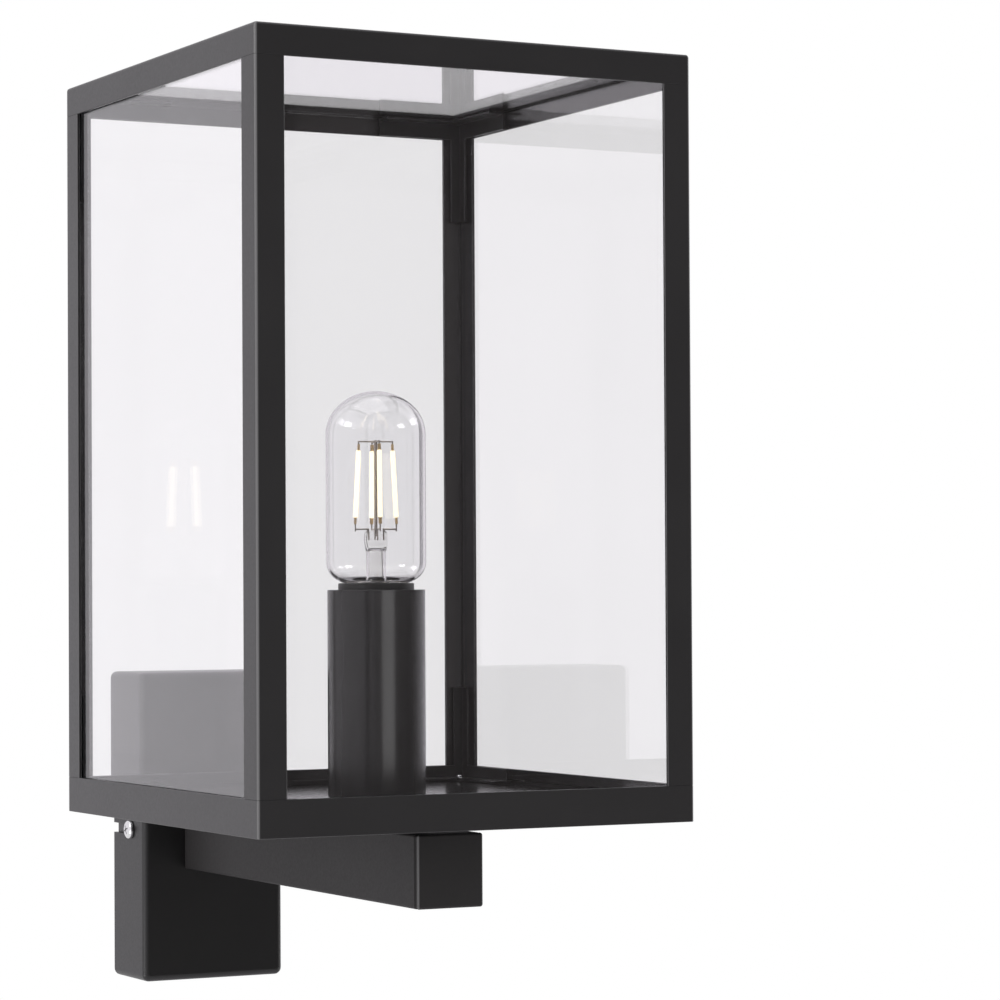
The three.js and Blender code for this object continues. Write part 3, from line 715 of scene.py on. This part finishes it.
stand_for("wall_box", wall_box(), BOX_PAINT_DARKENED_FOR_SHADE)
stand_for("arm", square_tube("arm", ARM_CORNER, SHEET), ARM_PAINT_LIGHTENED)
stand_for("arm_end_cap", arm_cap(), CAP_PAINT_LIGHTENED)
stand_for("arm_spacer", softened("arm_spacer", 0.6 * MM), PAINT)
stand_for("base_plate", softened("base_plate", 0.5 * MM, 3), TRAY_PAINT)
stand_for("arm_foot_plug", softened("arm_foot_plug", 0.3 * MM), ZINC)
stand_for("wall_bracket", softened("wall_bracket", 0.35 * MM), PAINT)
stand_for("terminal_block", softened("terminal_block", 0.5 * MM, 3), WHITE_PLASTIC)


# ---- screws, nuts and the lamp tube ----


def thread_rows(centre, low, high, crest, depth, pitch, segments, per_turn, fade=1.0):
    """Rows of points over a right-handed thread, from low to high. It fades out at both ends."""
    count = max(int((high - low) / pitch * per_turn), 4)
    rows = []
    for step in range(count + 1):
        height = low + (high - low) * step / count
        near_end = min(height - low, high - height) / (pitch * fade)
        share = min(max(near_end, 0), 1)
        row = []
        for k in range(segments):
            angle = 2 * math.pi * k / segments
            wave = 0.5 - 0.5 * math.cos(2 * math.pi * (height / pitch) - angle)
            radius = crest - depth * wave * share
            row.append(centre + Vector((radius * math.cos(angle), radius * math.sin(angle), height)))
        rows.append(row)
    return rows


def circle(centre, radius, height, segments):
    angles = [2 * math.pi * k / segments for k in range(segments)]
    return [centre + Vector((radius * math.cos(a), radius * math.sin(a), height)) for a in angles]


def cross_screw(head_radius, head_height, length):
    """A pan-head M4 screw with a cross recess: head above the plane z = 0, threaded shank below."""
    segments, origin = 32, Vector()
    rows = [circle(origin, M4_RADIUS - 0.6 * MM, -length, segments)]
    rows += thread_rows(origin, -length + 0.5 * MM, -0.5 * MM, M4_RADIUS, 0.35 * MM, M4_PITCH, segments, 6)
    rows += [circle(origin, M4_RADIUS, 0, segments), circle(origin, head_radius - 0.2 * MM, 0, segments)]
    edge = head_height * 0.4
    rows.append(circle(origin, head_radius, 0.2 * MM, segments))
    for step in range(7):
        angle = QUARTER * step / 6.4
        rise = edge + (head_height - edge) * math.sin(angle)
        rows.append(circle(origin, head_radius * math.cos(angle), rise, segments))
    bars = []
    for turn in (0, QUARTER):
        wing_low = (-head_radius / 2, -RECESS_HALF, head_height * 0.35)
        wing_high = (head_radius / 2, RECESS_HALF, head_height + MM)
        wing = slab("wing", wing_low, wing_high, RECESS_EDGE)
        bars.append(moved(wing, Matrix.Rotation(turn + RECESS_TURN, 4, "Z")))
    return carved(skin("screw", rows), bars)


def place_screw(node, direction, head_radius, head_height):
    """Puts a screw where its CAD node is, with its head towards direction."""
    low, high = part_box(node)
    middle, way = (low + high) / 2, Vector(direction)
    span = abs((high - low).dot(way))
    seat = middle + way * (span / 2 - head_height)
    turn = Vector((0, 0, 1)).rotation_difference(way).to_matrix().to_4x4()
    mesh = cross_screw(head_radius, head_height, span - head_height)
    stand_for(node, moved(mesh, Matrix.Translation(seat) @ turn), SCREW_STEEL)


place_screw("side_screw_left", (-1, 0, 0), *SIDE_SCREW_HEAD)
place_screw("side_screw_right", (1, 0, 0), *SIDE_SCREW_HEAD)
for level in ("lower", "upper"):
    place_screw(f"foot_screw_{level}", (0, 1, 0), *PAN_HEAD)
for corner in CORNERS:
    place_screw(f"cage_screw_{corner}", (0, 0, -1), *PAN_HEAD)

LAMP_AXIS = (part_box("lamp_tube")[0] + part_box("lamp_tube")[1]) / 2
LAMP_AXIS.z = 0


def hexagon_nut(node):
    """A hexagon nut with chamfered corners and a round hole."""
    low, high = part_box(node)
    flat = (high.x - low.x) / 2
    corner = flat / math.cos(math.pi / 6)
    segments, chamfer = 72, 0.7 * MM

    def ring(cap_radius, z):
        row = []
        for k in range(segments):
            angle = 2 * math.pi * k / segments
            near = (angle + math.pi / 6) % (math.pi / 3) - math.pi / 6
            radius = min(flat / math.cos(near), cap_radius)
            row.append(LAMP_AXIS + Vector((radius * math.cos(angle), radius * math.sin(angle), z)))
        return row

    rows = [ring(flat, low.z), ring(corner, low.z + chamfer)]
    rows += [ring(corner, high.z - chamfer), ring(flat, high.z)]
    for radius, height in (
        (NUT_BORE + EASE, high.z),
        (NUT_BORE, high.z - EASE),
        (NUT_BORE, low.z + EASE),
        (NUT_BORE + EASE, low.z),
    ):
        rows.append(circle(LAMP_AXIS, radius, height, segments))
    return skin(node, rows, wrap_rows=True)


for level in ("lower", "upper"):
    node = f"tube_nut_{level}"
    stand_for(node, hexagon_nut(node), ZINC)


def lamp_tube():
    """The threaded tube that clamps the lantern to the arm."""
    low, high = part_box("lamp_tube")
    segments = 48
    rows = thread_rows(LAMP_AXIS, low.z, high.z, LAMP_TUBE_RADIUS, 0.5 * MM, LAMP_TUBE_PITCH, segments, 6)
    rows += [circle(LAMP_AXIS, LAMP_TUBE_BORE, height, segments) for height in (high.z, low.z)]
    return skin("lamp_tube", rows, wrap_rows=True)


stand_for("lamp_tube", lamp_tube(), ZINC)


def earth_stud():
    """A nut on a stud, on the inside of the box."""
    low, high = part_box("earth_stud")
    reach = high.y - low.y
    segments, origin = 36, Vector()
    radius, nut_high = STUD_NUT
    rows = [circle(origin, radius - EASE, 0, 6), circle(origin, radius, EASE, 6)]
    rows += [circle(origin, radius, nut_high - EASE, 6), circle(origin, radius - EASE, nut_high, 6)]
    nut = skin("nut", rows)
    shank = thread_rows(origin, nut_high - 0.5 * MM, reach, M4_RADIUS, 0.3 * MM, M4_PITCH, segments, 6)
    whole = joined("earth_stud", [nut, skin("shank", shank)])
    seat = Vector(((low.x + high.x) / 2, low.y, (low.z + high.z) / 2))
    return moved(whole, Matrix.Translation(seat) @ Matrix.Rotation(-QUARTER, 4, "X"))


stand_for("earth_stud", cleaned(earth_stud()), BRASS)


def terminal_screws():
    """Three brass screws with slotted heads, down in the terminal block's wells."""
    low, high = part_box("terminal_block")
    middle = (low + high) / 2
    for number in (-1, 0, 1):
        x = middle.x + number * (high.x - low.x) / 3
        start = Vector((x, high.y - TERMINAL_SCREW_FOOT, middle.z))
        end = Vector((x, high.y - TERMINAL_SCREW_TOP, middle.z))
        head = rod("head", start, end, TERMINAL_SCREW_RADIUS, 32, 0.2 * MM)
        slot_low = end + Vector((-3 * MM, -1.2 * MM, -RECESS_HALF))
        slot_high = end + Vector((3 * MM, MM, RECESS_HALF))
        slot = slab("slot", slot_low, slot_high, RECESS_EDGE)
        turn = Matrix.Translation(end) @ Matrix.Rotation(0.5 * number, 4, "Y") @ Matrix.Translation(-end)
        mesh = carved(head, [moved(slot, turn)])
        add_piece(f"terminal_screw_{number + 2}", mesh, BRASS, BODY_OF["terminal_block"])


terminal_screws()

stand_for("live_lead", smoothed("live_lead"), BROWN_LEAD)
stand_for("neutral_lead", smoothed("neutral_lead"), BLUE_LEAD)
stand_for("earth_lead", smoothed("earth_lead"), GREEN_LEAD)


# ---- lamp holder ----


def round_shell(node, wall, ease):
    """A plain round tube with eased rims."""
    low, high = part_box(node)
    radius = (high.x - low.x) / 2
    outline = rounded([
        (radius, low.z, ease), (radius, high.z, ease),
        (radius - wall, high.z, ease), (radius - wall, low.z, ease),
    ])
    return turned(node, outline, LAMP_AXIS, 128)


stand_for("holder_sleeve", round_shell("holder_sleeve", SLEEVE_WALL, TIP), SLEEVE_PAINT)


def holder_insert():
    """The moulded lamp holder: a cup with a narrower foot."""
    low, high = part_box("holder_insert")
    radius = (high.x - low.x) / 2
    bottom, top = low.z, high.z
    floor = bottom + 17 * MM
    outline = rounded([
        (8.5 * MM, bottom, 0.4 * MM), (8.5 * MM, bottom + 4 * MM, 0.8 * MM),
        (12 * MM, bottom + 9 * MM, 1.5 * MM), (radius, bottom + 15 * MM, 1.5 * MM),
        (radius, top, 0.6 * MM), (14.5 * MM, top, 0.6 * MM),
        (14.5 * MM, floor, 0.5 * MM), (4 * MM, floor, 0.3 * MM), (4 * MM, bottom + 7 * MM, 0),
        (5.3 * MM, bottom + 7 * MM, 0), (5.3 * MM, bottom, 0.3 * MM),
    ], 5)
    return turned("holder_insert", outline, LAMP_AXIS, 96)


stand_for("holder_insert", holder_insert(), BLACK_PLASTIC)


def threaded_shell():
    """The holder's brass shell, pressed to the cap's thread."""
    low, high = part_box("holder_shell")
    segments = 72
    outer = (high.x - low.x) / 2
    inside = thread_rows(LAMP_AXIS, low.z, high.z, SHELL_BORE, 0.42 * MM, CAP_PITCH, segments, 12)
    rows = inside + [circle(LAMP_AXIS, outer, high.z, segments), circle(LAMP_AXIS, outer, low.z, segments)]
    return skin("holder_shell", rows, wrap_rows=True)


stand_for("holder_shell", threaded_shell(), BRASS)


def centre_contact():
    """A sprung brass tongue with a rounded boss."""
    low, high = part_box("holder_contact")
    rise = high.z - low.z
    outline = [
        (0, low.z), (6 * MM, low.z), (6 * MM, low.z + MM),
        (3.5 * MM, low.z + 1.2 * MM), (3 * MM, low.z + 0.6 * rise),
        (2.4 * MM, low.z + 0.85 * rise), (1.3 * MM, low.z + 0.97 * rise), (0, high.z),
    ]
    return turned("holder_contact", outline, LAMP_AXIS, 48, open_ended=True)


stand_for("holder_contact", centre_contact(), BRASS)


# ---- bulb ----

CAP_LOW, CAP_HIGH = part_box("bulb_cap")


def bulb_cap():
    """The pressed screw cap: a rolled thread, a plain skirt and a flared lip."""
    segments, sheet = 96, 0.3 * MM
    lip = (CAP_HIGH.x - CAP_LOW.x) / 2
    thread_low, thread_high = CAP_LOW.z + 2.6 * MM, CAP_HIGH.z - 2.2 * MM
    outer = [circle(LAMP_AXIS, r, z, segments) for r, z in (
        (4 * MM, CAP_LOW.z), (9.6 * MM, CAP_LOW.z),
        (11 * MM, CAP_LOW.z + 0.9 * MM), (12.2 * MM, CAP_LOW.z + 1.8 * MM),
    )]
    outer += thread_rows(
        LAMP_AXIS, thread_low, thread_high, CAP_RADIUS, 0.85 * MM, CAP_PITCH, segments, 14, 0.6
    )
    outer += [circle(LAMP_AXIS, r, z, segments) for r, z in (
        (13.0 * MM, CAP_HIGH.z - 1.9 * MM), (lip - 0.1 * MM, CAP_HIGH.z - 1.4 * MM),
        (lip, CAP_HIGH.z - 1.0 * MM), (lip, CAP_HIGH.z - 0.15 * MM), (lip - 0.15 * MM, CAP_HIGH.z),
    )]
    inner = []
    for row in reversed(outer):
        inset = []
        for point in row:
            away = Vector((point.x - LAMP_AXIS.x, point.y - LAMP_AXIS.y, 0))
            moved_in = point - away.normalized() * sheet
            if point.z < thread_low:
                moved_in.z += sheet
            inset.append(moved_in)
        inner.append(inset)
    return skin("bulb_cap", outer + inner, wrap_rows=True)


stand_for("bulb_cap", bulb_cap(), NICKEL)


def bulb_tip():
    """The black insulator at the cap's end."""
    low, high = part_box("bulb_tip")
    radius = (high.x - low.x) / 2
    outline = [
        (0, low.z + 0.5 * MM), (4.4 * MM, low.z + 0.5 * MM), (4.9 * MM, low.z + 0.9 * MM),
        (radius - 0.4 * MM, high.z - 0.5 * MM), (radius, high.z), (0, high.z),
    ]
    return turned("bulb_tip", outline, LAMP_AXIS, 64, open_ended=True)


def tip_contact():
    """The solder contact in the middle of the insulator."""
    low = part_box("bulb_tip")[0]
    outline = [
        (0, low.z), (2.6 * MM, low.z + 0.02 * MM), (3.8 * MM, low.z + 0.2 * MM),
        (4.1 * MM, low.z + 0.6 * MM), (0, low.z + 0.8 * MM),
    ]
    return turned("tip_contact", outline, LAMP_AXIS, 48, open_ended=True)


stand_for("bulb_tip", bulb_tip(), BLACK_PLASTIC)
add_piece("bulb_tip_contact", tip_contact(), NICKEL, "bulb_carrier")


def bulb_glass():
    """A tubular bulb: neck, rounded shoulder, straight side and low dome, with an even wall."""
    low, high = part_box("bulb_glass")
    radius = (high.x - low.x) / 2
    shoulder_low = CAP_HIGH.z + 0.4 * MM
    steps = 16
    arc = [QUARTER * k / steps for k in range(steps + 1)]

    def side(inset):
        line = [(BULB_NECK - inset, low.z), (BULB_NECK - inset, shoulder_low - 0.4 * MM)]
        for angle in arc:
            line.append((
                BULB_NECK - inset + (radius - BULB_NECK) * math.sin(angle),
                shoulder_low + SHOULDER_RISE - (SHOULDER_RISE - inset) * math.cos(angle),
            ))
        for angle in arc:
            line.append((
                (radius - inset) * math.cos(angle) if angle < QUARTER else 0,
                high.z - DOME_RISE + (DOME_RISE - inset) * math.sin(angle),
            ))
        return line

    outline = side(0) + side(BULB_WALL)[::-1]
    outline.append(outline[0])
    return turned("bulb_glass", outline, LAMP_AXIS, 128, open_ended=True, smooth_degrees=60)


stand_for("bulb_glass", bulb_glass(), BULB)


def filament_places():
    """For each filament: its lower end, its upper end and the way out to it from the axis."""
    places = []
    for number in range(1, 5):
        low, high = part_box(f"led_filament_{number}")
        middle = (low + high) / 2 - LAMP_AXIS
        angle = math.atan2(middle.y, middle.x)
        across = Vector((math.cos(angle), math.sin(angle), 0))
        places.append((
            LAMP_AXIS + across * FILAMENT_SPREAD[0] + Vector((0, 0, low.z)),
            LAMP_AXIS + across * FILAMENT_SPREAD[1] + Vector((0, 0, high.z)),
            across,
        ))
    return places


def make_filaments():
    for number, (low, high, across) in enumerate(filament_places(), 1):
        way = (high - low).normalized()
        node = f"led_filament_{number}"
        lit = rod(node, low + way * EASE, high - way * EASE, FILAMENT_RADIUS, 20, EASE)
        stand_for(node, lit, PHOSPHOR)
        tabs = []
        for end, outwards in ((low, -way), (high, way)):
            tab = slab("tab", (-0.75 * MM, -0.5 * MM, -1.2 * MM), (0.75 * MM, 0.5 * MM, 2.4 * MM), 0.1 * MM)
            turn = Vector((0, 0, 1)).rotation_difference(outwards).to_matrix().to_4x4()
            spin = Matrix.Rotation(math.atan2(across.y, across.x) + QUARTER, 4, "Z")
            tabs.append(moved(tab, Matrix.Translation(end) @ turn @ spin))
        add_piece(f"filament_tabs_{number}", joined("tabs", tabs), TAB, BODY_OF[node])


make_filaments()


def stem():
    """The glass stem: a flared foot, a hollow tube and a pressed pinch, and the height of the pinch's top."""
    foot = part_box("bulb_stem")[0].z
    pinch_low, pinch_high = foot + 21 * MM, foot + 30 * MM
    tube = turned("tube", [
        (10.2 * MM, foot), (10.6 * MM, foot + 0.6 * MM),
        (7.5 * MM, foot + 3.2 * MM), (5.2 * MM, foot + 6 * MM), (4.3 * MM, foot + 9.5 * MM),
        (4.3 * MM, pinch_low), (3.4 * MM, pinch_low + 0.6 * MM), (3.3 * MM, pinch_low),
        (3.4 * MM, foot + 9.5 * MM), (4.4 * MM, foot + 5.6 * MM), (6.8 * MM, foot + 2.4 * MM),
        (10.2 * MM, foot),
    ], LAMP_AXIS, 48, smooth_degrees=60)
    across = filament_places()[0][2]
    turn = Matrix.Rotation(math.atan2(across.y, across.x), 4, "Z")
    pinch_rows = []
    sections = ((0, 8.4, 7.6), (1.5, 9.6, 5.2), (4.5, 10.8, 4.2), (8, 10.4, 4.0), (9.4, 8.2, 3.0))
    for height, width, depth in sections:
        ring = rectangle(width * MM, depth * MM, 1.4 * MM, 4)
        z = pinch_low + 0.3 * MM + height * MM
        pinch_rows.append([LAMP_AXIS + turn @ Vector((p.x, p.y, 0)) + Vector((0, 0, z)) for p in ring])
    pinch = skin("pinch", pinch_rows, smooth_degrees=60)
    return joined("bulb_stem", [tube, pinch]), pinch_high


STEM_MESH, PINCH_TOP = stem()
stand_for("bulb_stem", cleaned(STEM_MESH, 60), STEM_GLASS)


def support_wires():
    """The centre rod, the star of wires over the filaments and the wires from the stem to their feet."""
    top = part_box("bulb_stem")[1].z - 2.4 * MM
    shelf = PINCH_TOP + 1.2 * MM
    wire = WIRE_RADIUS
    hub = LAMP_AXIS + Vector((0, 0, top))
    root = LAMP_AXIS + Vector((0, 0, PINCH_TOP - 2 * MM))
    parts = [rod("rod", root, hub + Vector((0, 0, 0.6 * MM)), 0.75 * MM, 16)]
    for low, high, across in filament_places():
        parts.append(rod("star", hub, Vector((high.x, high.y, top)), wire, 10))
        parts.append(rod("drop", Vector((high.x, high.y, top + wire)), high + Vector((0, 0, EASE)), wire, 10))
        foot = Vector((low.x, low.y, shelf))
        root = LAMP_AXIS + across * 3.4 * MM + Vector((0, 0, shelf))
        parts.append(rod("shelf", root, foot, wire, 10))
        parts.append(rod("leg", root - Vector((0, 0, 5 * MM)), root + Vector((0, 0, wire)), wire, 10))
        parts.append(rod("rise", foot - Vector((0, 0, 1 * MM)), low, wire, 10))
    return joined("support_wires", parts)


add_piece("bulb_support_wires", support_wires(), WIRE, "bulb")


# ---- studio ----

FLOOR_DROP = 0.9  # below the wall box
FLOOR_RADIUS = 3.0
FLOOR_FADE = (1.0, 2.9)  # over this stretch the floor passes into the studio's white
FLAG_DIRECTION = (0.42, -0.9, -0.1)
FLAG_FADE = (0.25, 0.8)  # cosines of the angles from it where the dark starts and is full
FLAG_SIDE = (0.12, 0.11, 0.11)
OPEN_SIDE = (0.98, 0.955, 1.0)
WINDOW_SIZE = (0.45, 0.3)
WINDOW_DISTANCE = 1.4
WINDOW_RISE = 24  # degrees, up or down
STRIP_SIZE = (0.036, 0.106)  # the sleeve's own light
STRIP_OFFSET = (-0.003, -0.079, 0)  # from the sleeve's axis
STRIP_DROP = 0.03  # below the sleeve's top


def floor_finish():
    """Pale and matt under the lantern, and the studio's own white at the rim, so that no edge shows."""
    material = surface("pale_floor", ((0.885, 0.885, 0.885), (0.895, 0.895, 0.895)), (0.75, 0.8), bump=0.02)
    tree = material.node_tree
    nodes, links = tree.nodes, tree.links
    output = next(node for node in nodes if node.type == "OUTPUT_MATERIAL")
    shader = next(node for node in nodes if node.type == "BSDF_PRINCIPLED")
    place, reach = nodes.new("ShaderNodeTexCoord"), nodes.new("ShaderNodeVectorMath")
    reach.operation = "LENGTH"
    fade = nodes.new("ShaderNodeMapRange")
    fade.interpolation_type = "SMOOTHSTEP"
    fade.inputs["From Min"].default_value, fade.inputs["From Max"].default_value = FLOOR_FADE
    white, mix = nodes.new("ShaderNodeEmission"), nodes.new("ShaderNodeMixShader")
    links.new(place.outputs["Object"], reach.inputs[0])
    links.new(reach.outputs["Value"], fade.inputs["Value"])
    links.new(fade.outputs["Result"], mix.inputs["Fac"])
    links.new(shader.outputs["BSDF"], mix.inputs[1])
    links.new(white.outputs["Emission"], mix.inputs[2])
    links.new(mix.outputs["Shader"], output.inputs["Surface"])
    return material


def make_floor():
    height = cad_bounds[0][2] - FLOOR_DROP
    angles = [2 * math.pi * k / 96 for k in range(96)]
    rim = [Vector((FLOOR_RADIUS * math.cos(a), FLOOR_RADIUS * math.sin(a), height)) for a in angles]
    mesh = finished_mesh("floor", rim, [tuple(range(96))])
    floor = bpy.data.objects.new("floor", mesh)
    bpy.context.scene.collection.objects.link(floor)
    mesh.materials.append(floor_finish())


def make_world():
    """A white studio. Gloss mirrors it darker towards the front right, where a black flag would stand."""
    world = bpy.data.worlds.new("studio")
    bpy.context.scene.world = world
    world.use_nodes = True
    tree = world.node_tree
    tree.nodes.clear()
    output = tree.nodes.new("ShaderNodeOutputWorld")
    plain, mirrored = (tree.nodes.new("ShaderNodeBackground") for _ in range(2))
    mix, path = tree.nodes.new("ShaderNodeMixShader"), tree.nodes.new("ShaderNodeLightPath")
    plain.inputs["Color"].default_value = (1, 1, 1, 1)
    direction = tree.nodes.new("ShaderNodeTexCoord")
    along = tree.nodes.new("ShaderNodeVectorMath")
    along.operation = "DOT_PRODUCT"
    along.inputs[1].default_value = FLAG_DIRECTION
    shade = tree.nodes.new("ShaderNodeMapRange")
    shade.interpolation_type = "SMOOTHSTEP"
    shade.inputs["From Min"].default_value, shade.inputs["From Max"].default_value = FLAG_FADE
    tint = tree.nodes.new("ShaderNodeMixRGB")
    tint.inputs["Color1"].default_value = (*OPEN_SIDE, 1)
    tint.inputs["Color2"].default_value = (*FLAG_SIDE, 1)
    tree.links.new(direction.outputs["Generated"], along.inputs[0])
    tree.links.new(along.outputs["Value"], shade.inputs["Value"])
    tree.links.new(shade.outputs["Result"], tint.inputs["Fac"])
    tree.links.new(tint.outputs["Color"], mirrored.inputs["Color"])
    after_gloss = tree.nodes.new("ShaderNodeMath")
    after_gloss.operation = "GREATER_THAN"
    after_gloss.inputs[1].default_value = 0.5
    tree.links.new(path.outputs["Glossy Depth"], after_gloss.inputs[0])
    tree.links.new(after_gloss.outputs["Value"], mix.inputs["Fac"])
    tree.links.new(plain.outputs["Background"], mix.inputs[1])
    tree.links.new(mirrored.outputs["Background"], mix.inputs[2])
    tree.links.new(mix.outputs["Shader"], output.inputs["Surface"])


def area_light(name, place, target, size, radiance):
    """A soft rectangular light that faces the target."""
    data = bpy.data.lights.new(name, "AREA")
    data.shape = "RECTANGLE"
    data.size, data.size_y = size
    data.energy = radiance * math.pi * size[0] * size[1]
    light = bpy.data.objects.new(name, data)
    light.location = place
    light.rotation_euler = (Vector(target) - Vector(place)).to_track_quat("-Z", "Y").to_euler()
    bpy.context.scene.collection.objects.link(light)
    return light


def make_lights():
    """A soft light overhead, and a high and a low window on each side."""
    bulb_height = sum(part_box("bulb_glass"), Vector()).z / 2
    aim = LAMP_AXIS + Vector((0, 0, bulb_height))
    area_light("overhead", aim + Vector((-0.3, 0, 1.7)), aim, (1.6, 1.6), 1.1)
    for name, azimuth, radiance in (("left", -98, 8.0), ("right", 80, 4.0)):
        for level, rise in (("high", WINDOW_RISE), ("low", -WINDOW_RISE)):
            across, up = math.radians(azimuth), math.radians(rise)
            away = Vector((math.sin(across) * math.cos(up), -math.cos(across) * math.cos(up), math.sin(up)))
            area_light(f"{name}_{level}_window", aim + away * WINDOW_DISTANCE, aim, WINDOW_SIZE, radiance)


def make_sleeve_light():
    """A small light that draws one gleam down the front of the holder's sleeve, and lights nothing else."""
    middle = LAMP_AXIS + Vector((0, 0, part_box("holder_sleeve")[1].z - STRIP_DROP))
    strip = area_light("sleeve_strip", middle + Vector(STRIP_OFFSET), middle, STRIP_SIZE, 2.0)
    strip.visible_camera = False
    strip.visible_transmission = False
    strip.visible_diffuse = False
    lit = bpy.data.collections.new("lit_by_sleeve_strip")
    lit.objects.link(bpy.data.objects["holder_sleeve_fine"])
    strip.light_linking.receiver_collection = lit


make_floor()
make_world()
make_lights()
make_sleeve_light()
bpy.context.scene.view_settings.view_transform = "Standard"
